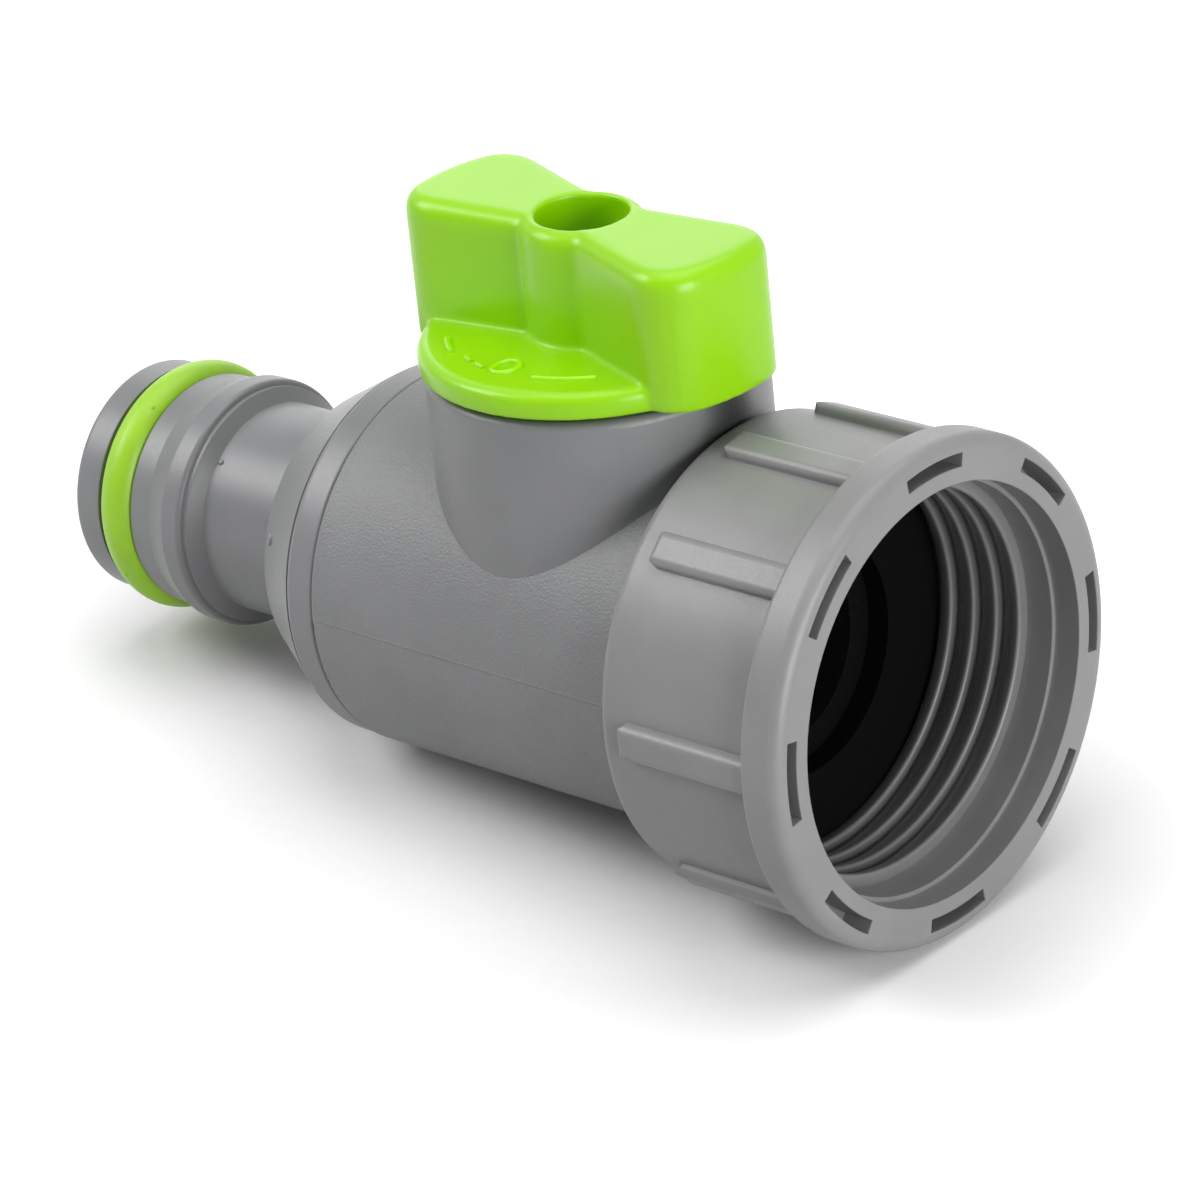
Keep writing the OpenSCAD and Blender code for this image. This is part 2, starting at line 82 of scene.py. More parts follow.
# Range that nearly all of a noise texture's values lie in
NOISE_LOW = 0.3
NOISE_HIGH = 0.7
# A mould line's flat middle and its foot, as distances from its plane, and its height in grains
LINE_MIDDLE = 0.03 * MM
LINE_FOOT = 0.11 * MM
LINE_RISE = 0.5
# Share of the grain that is left where the plastic is smooth, and how soon it is reached
SMOOTH_GRAIN = 0.3
SMOOTH_BLEND = 0.2 * MM
# How far light goes in under the knob's skin
SKIN_DEPTH = 2 * MM


class ConnectorColours(bpy.types.PropertyGroup):
    """Colours of the mouldings, as linear values."""

    body: bpy.props.FloatVectorProperty(
        name="Body", description="Grey of the valve body", subtype="COLOR", size=3,
        min=0, max=1, default=(0.2, 0.203, 0.208))
    nut: bpy.props.FloatVectorProperty(
        name="Nut", description="Grey of the swivel nut", subtype="COLOR", size=3,
        min=0, max=1, default=(0.235, 0.235, 0.237))
    nipple: bpy.props.FloatVectorProperty(
        name="Nipple", description="Grey of the nipple and the lock ring", subtype="COLOR", size=3,
        min=0, max=1, default=(0.205, 0.207, 0.214))
    knob: bpy.props.FloatVectorProperty(
        name="Knob", description="Green of the knob", subtype="COLOR", size=3,
        min=0, max=1, default=(0.3, 0.665, 0.0))
    ring: bpy.props.FloatVectorProperty(
        name="Nipple ring", description="Green of the nipple's O-ring", subtype="COLOR", size=3,
        min=0, max=1, default=(0.34, 0.65, 0.018))
    rubber: bpy.props.FloatVectorProperty(
        name="Black rubber", description="Washer, cushions and inner O-rings", subtype="COLOR", size=3,
        min=0, max=1, default=(0.004, 0.004, 0.0042))
    white: bpy.props.FloatVectorProperty(
        name="White plastic", description="Ball, seats and stem", subtype="COLOR", size=3,
        min=0, max=1, default=(0.76, 0.755, 0.72))
    screw: bpy.props.FloatVectorProperty(
        name="Screw", description="Zinc-plated steel of the knob's screw", subtype="COLOR", size=3,
        min=0, max=1, default=(0.42, 0.43, 0.44))


class ConnectorThread(bpy.types.PropertyGroup):
    """Sizes of the helical ridge inside the nut."""

    pitch: bpy.props.FloatProperty(
        name="Pitch", description="Distance between two crests", unit="LENGTH",
        min=0.001, max=0.003, default=0.001814)
    root_radius: bpy.props.FloatProperty(
        name="Root radius", description="Radius of the bore that carries the ridge", unit="LENGTH",
        min=0.01, max=0.02, default=0.01322)
    height: bpy.props.FloatProperty(
        name="Height", description="How far the crest stands in from the bore", unit="LENGTH",
        min=0.0005, max=0.002, default=0.00116)
    base_width: bpy.props.FloatProperty(
        name="Base width", description="Width of the ridge at the bore", unit="LENGTH",
        min=0.0005, max=0.0018, default=0.0018)
    crest_width: bpy.props.FloatProperty(
        name="Crest width", description="Width of the ridge at its crest", unit="LENGTH",
        min=0.0001, max=0.0015, default=0.0011)
    turns: bpy.props.FloatProperty(
        name="Turns", description="Number of turns", min=1, max=8, default=3.77)
    start: bpy.props.FloatProperty(
        name="Start", description="Place of the first crest in front of the washer", unit="LENGTH",
        min=0, max=0.005, default=0.00095)
    start_angle: bpy.props.FloatProperty(
        name="Start angle", description="Angle about the pipe at which the ridge starts",
        subtype="ANGLE", default=math.radians(-97))


class ConnectorMarks(bpy.types.PropertyGroup):
    """Sizes of the small raised marks that moulding leaves or that show the valve's state."""

    stroke_radius: bpy.props.FloatProperty(
        name="Stroke radius", description="Half the width of a raised mark on the knob", unit="LENGTH",
        min=0.00005, max=0.0005, default=0.0002)
    nub_radius: bpy.props.FloatProperty(
        name="Gate nub radius", description="Radius of the trimmed gate on the shoulder", unit="LENGTH",
        min=0.0001, max=0.001, default=0.00045)
    pip_radius: bpy.props.FloatProperty(
        name="Pip radius", description="Radius of a flash pip on the O-ring", unit="LENGTH",
        min=0.00005, max=0.0005, default=0.00013)


class ConnectorStudio(bpy.types.PropertyGroup):
    """Light and camera of the studio."""

    top_power: bpy.props.FloatProperty(
        name="Top light", description="Power of the softbox overhead", unit="POWER", min=0, default=3.45)
    key_power: bpy.props.FloatProperty(
        name="Key light", description="Power of the softbox in front of the nut's mouth", unit="POWER",
        min=0, default=4.8)
    fill_power: bpy.props.FloatProperty(
        name="Fill light", description="Power of the softbox above the nipple, on the camera's side",
        unit="POWER", min=0, default=2.8)
    back_power: bpy.props.FloatProperty(
        name="Back light", description="Power of the softbox above the nipple, on the far side", unit="POWER",
        min=0, default=0.8)
    sky: bpy.props.FloatProperty(
        name="Surrounding light", description="Strength of the light from all round", min=0, default=0.05)
    view_angle: bpy.props.FloatProperty(
        name="View angle", description="Angle that the camera sees across", subtype="ANGLE",
        default=math.radians(11.49))


# Shared helpers for materials

def new_material(name):
    """An empty node material with its output and shader."""
    material = bpy.data.materials.new(name)
    material.use_nodes = True
    tree = material.node_tree
    shader = tree.nodes["Principled BSDF"]
    return material, tree, shader


def own_place(tree):
    """The place on the piece, in its own coordinates."""
    return tree.nodes.new("ShaderNodeTexCoord").outputs["Object"]


def math_node(tree, operation, first, second=None):
    """A Math node whose inputs are sockets or numbers; returns its output."""
    node = tree.nodes.new("ShaderNodeMath")
    node.operation = operation
    for socket, value in zip(node.inputs, (first, second)):
        if value is None:
            continue
        if isinstance(value, (int, float)):
            socket.default_value = value
        else:
            tree.links.new(value, socket)
    return node.outputs["Value"]


def remap(tree, value, low, high, to_low, to_high):
    """Maps a socket's range onto another, smoothly and clamped."""
    node = tree.nodes.new("ShaderNodeMapRange")
    node.interpolation_type = "SMOOTHSTEP"
    tree.links.new(value, node.inputs["Value"])
    for name, number in (("From Min", low), ("From Max", high), ("To Min", to_low), ("To Max", to_high)):
        node.inputs[name].default_value = number
    return node.outputs["Result"]


def noise(tree, place, scale, detail=2.0, roughness=0.5):
    """The grey output of a noise texture at the given scale per metre."""
    node = tree.nodes.new("ShaderNodeTexNoise")
    node.inputs["Scale"].default_value = scale
    node.inputs["Detail"].default_value = detail
    node.inputs["Roughness"].default_value = roughness
    tree.links.new(place, node.inputs["Vector"])
    return node.outputs["Fac"]


def tint(tree, factor, first, second):
    """Mixes two colours, each a socket or a value, by a socket; returns the colour output."""
    node = tree.nodes.new("ShaderNodeMix")
    node.data_type = "RGBA"
    tree.links.new(factor, node.inputs["Factor"])
    colours = {"A": first, "B": second}
    for socket in node.inputs:
        if socket.type != "RGBA":
            continue
        colour = colours[socket.name]
        if isinstance(colour, bpy.types.NodeSocket):
            tree.links.new(colour, socket)
        else:
            socket.default_value = (*colour, 1)
    return next(s for s in node.outputs if s.type == "RGBA")


def shade(colour, factor):
    """A colour made darker or lighter."""
    return tuple(min(1.0, part * factor) for part in colour)


def moulded_plastic(name, colour, roughness=0.45, grain=6000, depth=0.000004, mottle=0.05,
                    smooth_beyond=None, seam_height=None, inlet_shade_from=None, subsurface=0.0,
                    specular=0.5, edge=0.12, uneven=0.05):
    """Injection-moulded plastic: fine spark-eroded grain, slight flow marks and uneven gloss.

    Where smooth_beyond is given, the grain fades out further than that from the pipe's axis.
    Where seam_height is given, a mould line runs round the piece at that height.
    Where the start of the inlet's shade is given, painted shade makes the plastic near black and cuts its
    shine further along the pipe than that.
    Edges shade as if they were rounded by edge, in millimetres, and uneven is how far the
    roughness strays.
    """
    material, tree, shader = new_material(name)
    place = own_place(tree)
    broad = noise(tree, place, scale=160, detail=3, roughness=0.55)
    grit = noise(tree, place, scale=grain, detail=2, roughness=0.6)
    flow = remap(tree, broad, NOISE_LOW, NOISE_HIGH, 0, 1)
    axes = tree.nodes.new("ShaderNodeSeparateXYZ")
    tree.links.new(place, axes.inputs["Vector"])
    skin = tint(tree, flow, shade(colour, 1 - mottle), shade(colour, 1 + mottle))
    # Painted shade: past the given place along the pipe the colour runs to near black and the shine drops,
    # standing in for the inlet's shade
    if inlet_shade_from is not None:
        share = remap(tree, axes.outputs["X"], inlet_shade_from - BLEND, inlet_shade_from + BLEND, 0, 1)
        skin = tint(tree, share, skin, shade(colour, INLET_SHADE_COLOUR))
        shine = remap(tree, share, 0, 1, specular, INLET_SHADE_SHINE)
        tree.links.new(shine, shader.inputs["Specular IOR Level"])
    tree.links.new(skin, shader.inputs["Base Color"])
    shader.inputs["Specular IOR Level"].default_value = specular
    height = grit
    if smooth_beyond is not None:
        radius = math_node(tree, "SQRT", math_node(
            tree, "ADD", math_node(tree, "POWER", axes.outputs["Y"], 2.0),
            math_node(tree, "POWER", axes.outputs["Z"], 2.0)))
        share = remap(tree, radius, smooth_beyond, smooth_beyond + SMOOTH_BLEND, 1, SMOOTH_GRAIN)
        height = math_node(tree, "MULTIPLY", grit, share)
    if seam_height is not None:
        off = math_node(tree, "ABSOLUTE", math_node(tree, "SUBTRACT", axes.outputs["Z"], seam_height))
        line = remap(tree, off, LINE_MIDDLE, LINE_FOOT, LINE_RISE, 0.0)
        height = math_node(tree, "ADD", height, line)
    bump = tree.nodes.new("ShaderNodeBump")
    bump.inputs["Strength"].default_value = 1.0
    bump.inputs["Distance"].default_value = depth
    if edge:
        bevel = tree.nodes.new("ShaderNodeBevel")
        bevel.samples = 6
        bevel.inputs["Radius"].default_value = edge * MM
        tree.links.new(bevel.outputs["Normal"], bump.inputs["Normal"])
    tree.links.new(height, bump.inputs["Height"])
    tree.links.new(bump.outputs["Normal"], shader.inputs["Normal"])
    gloss = remap(tree, grit, NOISE_LOW, NOISE_HIGH, roughness - uneven, roughness + uneven)
    tree.links.new(gloss, shader.inputs["Roughness"])
    if subsurface:
        shader.inputs["Subsurface Weight"].default_value = subsurface
        shader.inputs["Subsurface Radius"].default_value = (0.6, 1.0, 0.1)
        shader.inputs["Subsurface Scale"].default_value = SKIN_DEPTH
    return material


def rubber(name, colour, roughness=0.6, grain=5000, depth=0.000004, specular=0.5):
    """Moulded rubber: matt, with a fine grain and a faint bloom."""
    material, tree, shader = new_material(name)
    shader.inputs["Specular IOR Level"].default_value = specular
    place = own_place(tree)
    cloud = noise(tree, place, scale=420, detail=4, roughness=0.6)
    bloom = remap(tree, cloud, 0.35, NOISE_HIGH, 0, 1)
    tree.links.new(tint(tree, bloom, shade(colour, 0.97), shade(colour, 1.04)),
                   shader.inputs["Base Color"])
    grit = noise(tree, place, scale=grain, detail=3, roughness=0.6)
    bump = tree.nodes.new("ShaderNodeBump")
    bump.inputs["Distance"].default_value = depth
    tree.links.new(grit, bump.inputs["Height"])
    tree.links.new(bump.outputs["Normal"], shader.inputs["Normal"])
    uneven = 0.06
    gloss = remap(tree, bloom, 0, 1, roughness - uneven, roughness + uneven)
    tree.links.new(gloss, shader.inputs["Roughness"])
    return material


def plated_steel(name, colour):
    """Zinc-plated steel with a slightly cloudy shine."""
    material, tree, shader = new_material(name)
    place = own_place(tree)
    cloud = noise(tree, place, scale=900, detail=4, roughness=0.6)
    tree.links.new(tint(tree, cloud, shade(colour, 0.85), shade(colour, 1.1)), shader.inputs["Base Color"])
    gloss = remap(tree, cloud, NOISE_LOW, NOISE_HIGH, 0.34, 0.48)
    tree.links.new(gloss, shader.inputs["Roughness"])
    shader.inputs["Metallic"].default_value = 1.0
    return material


def finish(node, material):
    """Gives a CAD node its material."""
    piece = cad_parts[node]
    piece.data.materials.clear()
    piece.data.materials.append(material)


def add_piece(name, mesh, body, material):
    """Makes a finished mesh a piece that rides on a CAD body."""
    piece = bpy.data.objects.new(name, mesh)
    bpy.context.scene.collection.objects.link(piece)
    if material.name not in [m.name for m in mesh.materials if m]:
        mesh.materials.append(material)
    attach(piece, body)
    return piece


# Shared helpers for node trees that build shapes

def new_tree(name, inputs):
    """A geometry tree with a geometry input and output and the named inputs."""
    tree = bpy.data.node_groups.new(name, "GeometryNodeTree")
    tree.interface.new_socket("Geometry", in_out="INPUT", socket_type="NodeSocketGeometry")
    tree.interface.new_socket("Geometry", in_out="OUTPUT", socket_type="NodeSocketGeometry")
    for label, kind in inputs:
        tree.interface.new_socket(label, in_out="INPUT", socket_type="NodeSocket" + kind)
    given = tree.nodes.new("NodeGroupInput")
    result = tree.nodes.new("NodeGroupOutput")
    return tree, given.outputs, result.inputs


def step(tree, kind, links=None, **settings):
    """Adds a node, sets its properties and fills its inputs with sockets or values."""
    node = tree.nodes.new(kind)
    for key, value in settings.items():
        setattr(node, key, value)
    for key, value in (links or {}).items():
        socket = node.inputs[key]
        if isinstance(value, bpy.types.NodeSocket):
            tree.links.new(value, socket)
        else:
            socket.default_value = value
    return node


def run_tree(tree, source, inputs):
    """Runs a tree on a source mesh and returns the plain mesh that it makes."""
    carrier = bpy.data.objects.new(tree.name, source)
    bpy.context.scene.collection.objects.link(carrier)
    modifier = carrier.modifiers.new("Build", "NODES")
    modifier.node_group = tree
    for item in tree.interface.items_tree:
        if item.item_type == "SOCKET" and item.in_out == "INPUT" and item.name in inputs:
            modifier[item.identifier] = inputs[item.name]
    evaluated = carrier.evaluated_get(bpy.context.evaluated_depsgraph_get())
    mesh = bpy.data.meshes.new_from_object(evaluated)
    bpy.data.objects.remove(carrier)
    if not len(mesh.polygons):
        raise RuntimeError(f"the tree {tree.name} made no faces")
    return mesh


def helix_tree():
    """A ridge along a helix inside a bore, running out at both ends."""
    tree, given, result = new_tree("helical_ridge", [
        ("Root radius", "Float"), ("Height", "Float"), ("Base width", "Float"), ("Crest width", "Float"),
        ("Pitch", "Float"), ("Turns", "Float"), ("Start", "Float"), ("Start angle", "Float"),
        ("Steps", "Int"), ("Run out", "Float"), ("Material", "Material")])

    def calc(operation, first, second=None):
        return math_node(tree, operation, first, second)

    line = step(tree, "GeometryNodeCurvePrimitiveLine")
    dense = step(tree, "GeometryNodeResampleCurve",
                 {"Curve": line.outputs["Curve"], "Count": given["Steps"]})
    along = step(tree, "GeometryNodeSplineParameter").outputs["Factor"]
    turned = calc("MULTIPLY", along, given["Turns"])
    angle = calc("ADD", calc("MULTIPLY", turned, 2 * math.pi), given["Start angle"])
    # A point at angle a about X is (Y cos a, Z sin a); the line is laid along Z and then turned
    spot = step(tree, "ShaderNodeCombineXYZ", {
        "X": calc("MULTIPLY", calc("COSINE", angle), given["Root radius"]),
        "Y": calc("MULTIPLY", calc("SINE", angle), given["Root radius"]),
        "Z": calc("ADD", calc("MULTIPLY", turned, given["Pitch"]), given["Start"])})
    laid = step(tree, "GeometryNodeSetPosition",
                {"Geometry": dense.outputs["Curve"], "Position": spot.outputs["Vector"]})
    upright = step(tree, "GeometryNodeSetCurveNormal", {"Curve": laid.outputs["Geometry"]})
    upright.mode = "Z_UP"
    left = calc("SUBTRACT", given["Turns"], turned)
    ends = calc("DIVIDE", calc("MINIMUM", turned, left), given["Run out"])
    least_scale = 0.05
    scale = calc("MAXIMUM", calc("MINIMUM", ends, 1.0), least_scale)
    sized = step(tree, "GeometryNodeSetCurveRadius", {"Curve": upright.outputs["Curve"], "Radius": scale})
    # Rounding of the profile's corners as a share of the crest's width, and how far the profile's
    # middle stands in from the bore as a share of its height, so that its foot is sunk in the wall
    rounding = 0.2
    lift = 0.44
    profile = step(tree, "GeometryNodeCurvePrimitiveQuadrilateral", {
        "Bottom Width": given["Base width"], "Top Width": given["Crest width"],
        "Height": given["Height"], "Offset": 0.0}, mode="TRAPEZOID")
    rounded = step(tree, "GeometryNodeFilletCurve", {
        "Curve": profile.outputs["Curve"], "Count": 3,
        "Radius": calc("MULTIPLY", given["Crest width"], rounding)}, mode="POLY")
    lifted = step(tree, "GeometryNodeTransform", {
        "Geometry": rounded.outputs["Curve"],
        "Translation": step(tree, "ShaderNodeCombineXYZ", {
            "Y": calc("MULTIPLY", given["Height"], lift)}).outputs["Vector"]})
    swept = step(tree, "GeometryNodeCurveToMesh", {
        "Curve": sized.outputs["Curve"], "Profile Curve": lifted.outputs["Geometry"], "Fill Caps": True})
    turned_over = step(tree, "GeometryNodeTransform", {
        "Geometry": swept.outputs["Mesh"], "Rotation": (0, math.pi / 2, 0)})
    real = step(tree, "GeometryNodeRealizeInstances", {"Geometry": turned_over.outputs["Geometry"]})
    soft = step(tree, "GeometryNodeSetShadeSmooth", {"Geometry": real.outputs["Geometry"]})
    coated = step(tree, "GeometryNodeSetMaterial", {
        "Geometry": soft.outputs["Geometry"], "Material": given["Material"]})
    tree.links.new(coated.outputs["Geometry"], result["Geometry"])
    return tree


def stroke_tree():
    """Round raised strokes along the edges of the source mesh."""
    tree, given, result = new_tree("raised_strokes", [
        ("Radius", "Float"), ("Spacing", "Float"), ("Material", "Material")])
    paths = step(tree, "GeometryNodeMeshToCurve", {"Mesh": given["Geometry"]})
    dense = step(tree, "GeometryNodeResampleCurve",
                 {"Curve": paths.outputs["Curve"], "Length": given["Spacing"]}, mode="LENGTH")
    circle = step(tree, "GeometryNodeCurvePrimitiveCircle", {"Resolution": 12, "Radius": given["Radius"]})
    swept = step(tree, "GeometryNodeCurveToMesh", {
        "Curve": dense.outputs["Curve"], "Profile Curve": circle.outputs["Curve"], "Fill Caps": True})
    real = step(tree, "GeometryNodeRealizeInstances", {"Geometry": swept.outputs["Mesh"]})
    soft = step(tree, "GeometryNodeSetShadeSmooth", {"Geometry": real.outputs["Geometry"]})
    coated = step(tree, "GeometryNodeSetMaterial", {
        "Geometry": soft.outputs["Geometry"], "Material": given["Material"]})
    tree.links.new(coated.outputs["Geometry"], result["Geometry"])
    return tree


def polar(radius, degrees, height, centre_x=0.0):
    """A point about the stem's axis."""
    angle = math.radians(degrees)
    return Vector((centre_x + radius * math.cos(angle), radius * math.sin(angle), height))


def about_pipe(x, radius, degrees):
    """A point about the pipe's axis, from the Y axis towards Z."""
    angle = math.radians(degrees)
    return Vector((x, radius * math.cos(angle), radius * math.sin(angle)))


def path_mesh(name, paths):
    """A mesh of bare edges; a path is (points, closed)."""
    points, edges = [], []
    for path, closed in paths:
        first = len(points)
        points.extend(path)
        edges.extend((first + i, first + i + 1) for i in range(len(path) - 1))
        if closed:
            edges.append((len(points) - 1, first))
    mesh = bpy.data.meshes.new(name)
    mesh.from_pydata(points, edges, [])
    return mesh


def add_button(shape, centre, normal, radius, height, sides=20):
    """Adds a low domed button to a bmesh, standing along normal on its centre point."""
    turn = normal.normalized().to_track_quat("Z", "Y").to_matrix().to_4x4()
    place = Matrix.Translation(centre) @ turn
    # From the foot, which is sunk in the surface, over the rim to the flat top
    profile = [(radius * 1.25, -height), (radius, 0), (radius * 0.92, height * 0.55),
               (radius * 0.7, height * 0.85), (radius * 0.35, height)]
    rings = []
    for across, up in profile:
        ring = []
        for i in range(sides):
            angle = 2 * math.pi * i / sides
            offset = Vector((across * math.cos(angle), across * math.sin(angle), up))
            ring.append(shape.verts.new(place @ offset))
        rings.append(ring)
    for lower, upper in zip(rings, rings[1:]):
        for i in range(sides):
            j = (i + 1) % sides
            shape.faces.new((lower[i], lower[j], upper[j], upper[i]))
    shape.faces.new(rings[-1])
    shape.faces.new(list(reversed(rings[0])))


def button_mesh(name, buttons):
    """A mesh of domed buttons, each (centre, normal, radius, height)."""
    shape = bmesh.new()
    for button in buttons:
        add_button(shape, *button)
    mesh = bpy.data.meshes.new(name)
    shape.to_mesh(mesh)
    shape.free()
    mesh.shade_smooth()
    return mesh


# One operator for each group of pieces

class CONNECTOR_OT_finish_body(bpy.types.Operator):
    """Gives the valve body and the ring on its spigot their grey plastic, with painted shade deep in the
    inlet
    """

    bl_idname = "connector.finish_body"
    bl_label = "Finish the body"

    def execute(self, context):
        colours = context.scene.connector_colours
        # Painted shade: from 4.8 mm behind the washer's face onwards, towards the mouth, the plastic is made
        # near black
        plastic = moulded_plastic("body_plastic", colours.body, roughness=0.4, grain=6000, depth=0.00006,
                                  smooth_beyond=12.68 * MM, seam_height=0.45 * MM,
                                  inlet_shade_from=-4.8 * MM)
        finish("valve_body", plastic)
        finish("nut_retaining_ring", plastic)
        return {"FINISHED"}


class CONNECTOR_OT_finish_nut(bpy.types.Operator):
    """Gives the swivel nut its lighter satin plastic"""

    bl_idname = "connector.finish_nut"
    bl_label = "Finish the nut"

    def execute(self, context):
        plastic = moulded_plastic("nut_plastic", context.scene.connector_colours.nut, roughness=0.4,
                                  grain=6500, depth=0.000005)
        finish("coupling_nut", plastic)
        return {"FINISHED"}


class CONNECTOR_OT_cut_thread(bpy.types.Operator):
    """Builds the helical ridge inside the nut, in the nut's plastic darkened as painted shade"""

    bl_idname = "connector.cut_thread"
    bl_label = "Cut the nut's thread"

    STEPS_PER_TURN = 120
    # Share of a turn over which the ridge runs out at each end
    RUN_OUT = 0.06

    def execute(self, context):
        thread = context.scene.connector_thread
        # Painted shade: the ridge is the nut's own plastic darkened to 0.72 of its grey, standing in for the
        # shade inside the nut
        plastic = moulded_plastic("thread_shaded_plastic", shade(context.scene.connector_colours.nut, 0.72),
                                  roughness=0.34, grain=4000, depth=0.000001, edge=0, uneven=0.02)
        mesh = run_tree(helix_tree(), bpy.data.meshes.new("thread_source"), {
            "Root radius": thread.root_radius, "Height": thread.height, "Base width": thread.base_width,
            "Crest width": thread.crest_width, "Pitch": thread.pitch, "Turns": thread.turns,
            "Start": thread.start, "Start angle": thread.start_angle + math.pi / 2,
            "Steps": int(self.STEPS_PER_TURN * thread.turns), "Run out": self.RUN_OUT,
            "Material": plastic})
        add_piece("nut_thread", mesh, "nut", plastic)
        return {"FINISHED"}


class CONNECTOR_OT_finish_nipple(bpy.types.Operator):
    """Gives the nipple and the lock ring their plastic, and the O-ring its green rubber"""

    bl_idname = "connector.finish_nipple"
    bl_label = "Finish the nipple"

    def execute(self, context):
        colours = context.scene.connector_colours
        plastic = moulded_plastic("nipple_plastic", colours.nipple, roughness=0.36, grain=5200,
                                  depth=0.0000035, mottle=0.06)
        finish("nipple", plastic)
        finish("lock_ring", plastic)
        finish("nipple_nose_o_ring", rubber("green_rubber", colours.ring, roughness=0.42))
        return {"FINISHED"}


class CONNECTOR_OT_finish_knob(bpy.types.Operator):
    """Gives the knob its green, slightly translucent plastic, and the screw its zinc"""

    bl_idname = "connector.finish_knob"
    bl_label = "Finish the knob"

    def execute(self, context):
        colours = context.scene.connector_colours
        plastic = moulded_plastic("knob_plastic", colours.knob, roughness=0.28, grain=2600,
                                  depth=0.0000004, mottle=0.015, subsurface=0.2, specular=0.35, edge=0,
                                  uneven=0.006)
        finish("knob", plastic)
        self.soften(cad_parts["knob"])
        finish("knob_screw", plated_steel("screw_zinc", colours.screw))
        return {"FINISHED"}

    def soften(self, knob):
        """Rounds the facets and inner corners of the knob as its mould does."""
        even = knob.modifiers.new("Even skin", "REMESH")
        even.mode = "VOXEL"
        even.voxel_size = 0.15 * MM
        even.use_smooth_shade = True
        smooth = knob.modifiers.new("Soft edges", "SMOOTH")
        smooth.factor = 0.5
        smooth.iterations = 18


class CONNECTOR_OT_finish_inside(bpy.types.Operator):
    """Gives the ball, seats, stem, washers and seals inside the body their materials"""

    bl_idname = "connector.finish_inside"
    bl_label = "Finish the inner pieces"

    def execute(self, context):
        colours = context.scene.connector_colours
        black = rubber("black_rubber", colours.rubber, roughness=0.8, specular=0.02)
        for node in ("tap_washer", "inlet_seat_cushion", "outlet_seat_cushion", "stem_lower_o_ring",
                     "stem_upper_o_ring", "nipple_body_o_ring"):
            finish(node, black)
        finish("valve_ball", moulded_plastic("ball_plastic", colours.white, roughness=0.22,
                                             depth=0.000001, mottle=0.02))
        seat = moulded_plastic("seat_plastic", shade(colours.white, 1.08), roughness=0.4,
                               depth=0.000002, mottle=0.02)
        for node in ("inlet_seat", "outlet_seat", "stem_bearing_washer"):
            finish(node, seat)
        finish("stem", moulded_plastic("stem_plastic", shade(colours.white, 0.92), roughness=0.4,
                                       depth=0.000003, mottle=0.03))
        return {"FINISHED"}


class CONNECTOR_OT_raise_marks(bpy.types.Operator):
    """Raises plain strokes and a ring on the knob's disc"""

    bl_idname = "connector.raise_marks"
    bl_label = "Raise the knob's marks"

    def execute(self, context):
        marks = context.scene.connector_marks
        # Radii are in millimetres and angles in degrees about the stem, at the height of the disc's top
        top = 19.35 * MM
        spacing = 0.2 * MM

        def arc(radius, first, last, steps=8):
            span = [first + (last - first) * i / steps for i in range(steps + 1)]
            return [polar(radius * MM, a, top, STEM_X) for a in span]

        def oval(radius, degrees, across, along, steps=20):
            middle = polar(radius * MM, degrees, top, STEM_X)
            outwards = polar(1, degrees, 0)
            sideways = Vector((-outwards.y, outwards.x, 0))
            turns = [2 * math.pi * i / steps for i in range(steps)]
            return [middle + outwards * along * MM * math.cos(t) + sideways * across * MM * math.sin(t)
                    for t in turns]

        left_stroke = arc(9.2, -138, -124)
        first_dash = arc(8.7, -115, -110, steps=3)
        second_dash = arc(8.7, -106, -101, steps=3)
        ring = oval(7.8, -93, across=0.75, along=1.0)
        right_stroke = arc(8.55, -75, -48)
        paths = [(left_stroke, False), (first_dash, False), (second_dash, False), (ring, True),
                 (right_stroke, False)]
        colours = context.scene.connector_colours
        # Painted highlight: the marks are the knob's own plastic lightened to 1.15 of its green, standing in
        # for the light that their raised strokes catch
        plastic = moulded_plastic("mark_highlit_plastic", shade(colours.knob, 1.15), roughness=0.25, grain=3500,
                                  depth=0.0000004, mottle=0.01, edge=0, uneven=0.006)
        mesh = run_tree(stroke_tree(), path_mesh("mark_paths", paths), {
            "Radius": marks.stroke_radius, "Spacing": spacing, "Material": plastic})
        add_piece("knob_marks", mesh, "valve_rotor", plastic)
        return {"FINISHED"}


class CONNECTOR_OT_add_mould_marks(bpy.types.Operator):
    """Adds the trimmed gate on the shoulder, a pip on the neck and the flash pips on the O-ring"""

    bl_idname = "connector.add_mould_marks"
    bl_label = "Add the mould marks"

    def execute(self, context):
        marks = context.scene.connector_marks
        # The gate stands on the shoulder's cone, square to it
        gate_angle = 160
        gate_height = 0.2 * MM
        spot = about_pipe(-37.2 * MM, 10.17 * MM, gate_angle)
        outwards = about_pipe(-0.5, 0.86, gate_angle)
        neck_angle = 133
        neck_pip_height = 0.16 * MM
        neck_spot = about_pipe(-45.95 * MM, 7.13 * MM, neck_angle)
        neck_pip = (neck_spot, about_pipe(0, 1, neck_angle), 0.5 * marks.nub_radius, neck_pip_height)
        gate = button_mesh("gate_nub", [(spot, outwards, marks.nub_radius, gate_height), neck_pip])
        add_piece("nipple_gate_nub", gate, "housing", bpy.data.materials["nipple_plastic"])
        middle = (ring_low.x + ring_high.x) / 2
        section = (ring_high.x - ring_low.x) / 2
        mid_radius = ring_high.z - section
        flash_height = 0.08 * MM
        pips = []
        # Each pip has an angle about the pipe and one round the ring's section
        for degrees, tilt in ((118, 35), (150, -70), (205, 5)):
            lean = math.radians(tilt)
            out = about_pipe(0, 1, degrees)
            normal = out * math.cos(lean) + PIPE_AXIS * math.sin(lean)
            centre = out * mid_radius + PIPE_AXIS * middle + normal * section
            pips.append((centre, normal, marks.pip_radius, flash_height))
        flash = button_mesh("ring_flash", pips)
        add_piece("ring_flash_pips", flash, "housing", bpy.data.materials["green_rubber"])
        return {"FINISHED"}


